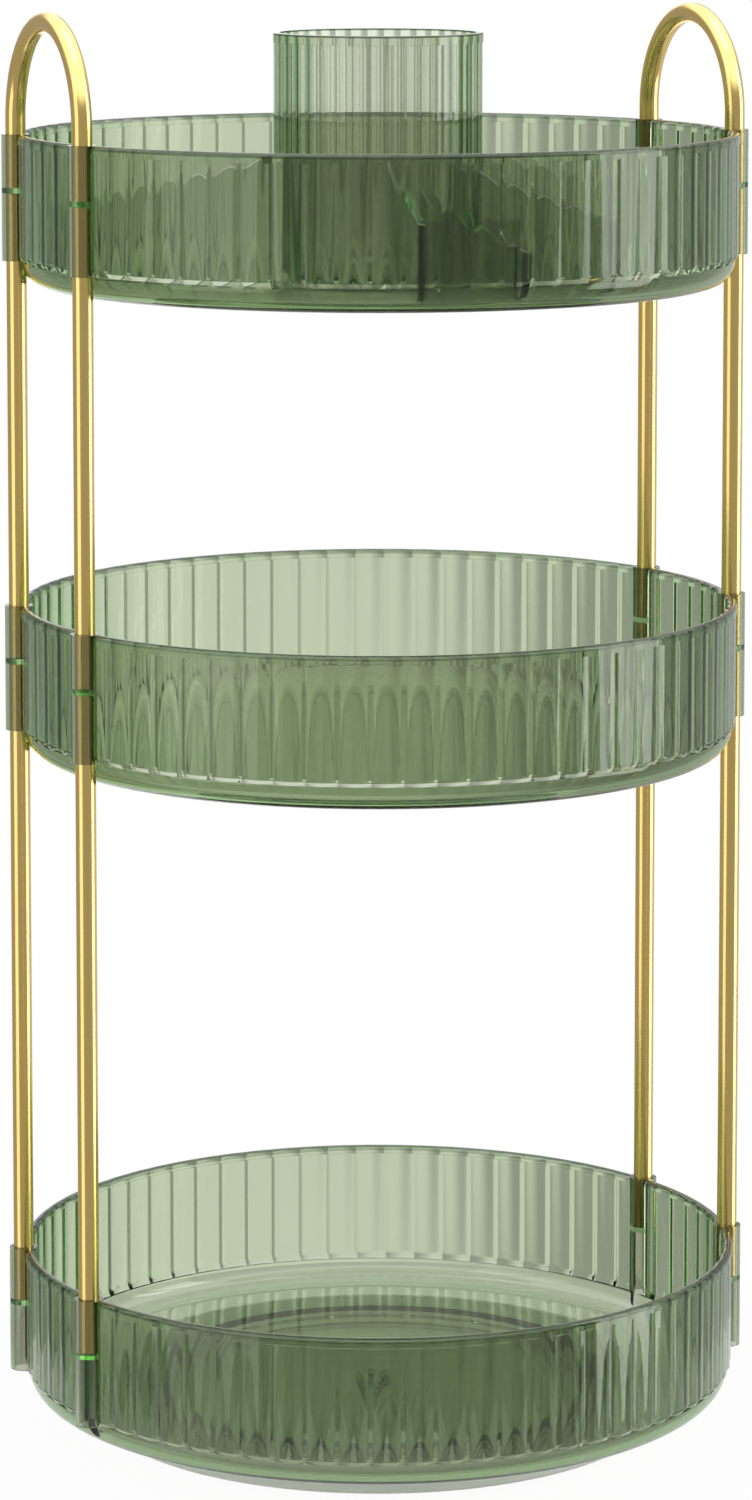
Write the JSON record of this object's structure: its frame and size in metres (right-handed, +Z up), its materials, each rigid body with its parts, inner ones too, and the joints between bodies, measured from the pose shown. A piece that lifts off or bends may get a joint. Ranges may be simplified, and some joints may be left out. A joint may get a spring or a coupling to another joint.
{
  "type": "rotating makeup organizer",
  "caption": "Tall rotating makeup organizer: round reeded clear green trays on gold tube posts with loop handles, a lift-out brush cup with dividers and a turntable base.",
  "frame": {"origin": "centre of the circle of foot pads, at table height", "axes": "+Z up along the turning axis, X through the two handles, -Y to the front with the low divider"},
  "size_m": [0.23, 0.23, 0.4555],
  "materials": {
    "green_plastic": "clear tinted, polished",
    "gold_metal": "polished gold tone",
    "white_plastic": "satin",
    "rubber": "matt",
    "race_steel": "zinc plated",
    "ball_steel": "polished",
    "cage_plastic": "natural"
  },
  "bodies": {
    "base": {"base_dish": "white_plastic", "foot_pads": "rubber", "lower_race": "race_steel", "pivot_bush": "cage_plastic"},
    "carousel": {"bottom_tray": "green_plastic", "middle_tray": "green_plastic", "top_tray": "green_plastic", "lower_post_left_front": "gold_metal", "lower_post_left_back": "gold_metal", "lower_post_right_front": "gold_metal", "lower_post_right_back": "gold_metal", "upper_post_left_front": "gold_metal", "upper_post_left_back": "gold_metal", "upper_post_right_front": "gold_metal", "upper_post_right_back": "gold_metal", "left_handle": "gold_metal", "right_handle": "gold_metal", "upper_race": "race_steel", "pivot_washer": "race_steel", "pivot_screw": "race_steel"},
    "bearing": {"ball_cage": "cage_plastic", "bearing_balls": "ball_steel"},
    "insert": {"divider_insert": "green_plastic"}
  },
  "joints": [
    {"name": "turntable_spin", "type": "hinge", "parent": "base", "child": "carousel", "pos_m": [0, 0, 0.006], "axis": [0, 0, 1], "continuous": true},
    {"name": "ball_cage_spin", "type": "hinge", "parent": "base", "child": "bearing", "pos_m": [0, 0, 0.006], "axis": [0, 0, 1], "continuous": true},
    {"name": "insert_lift", "type": "slide", "parent": "carousel", "child": "insert", "axis": [0, 0, 1], "range_m": [0, 0.1]}
  ],
  "couplings": [
    {"joint": "ball_cage_spin", "follows": "turntable_spin", "ratio": 0.5}
  ]
}
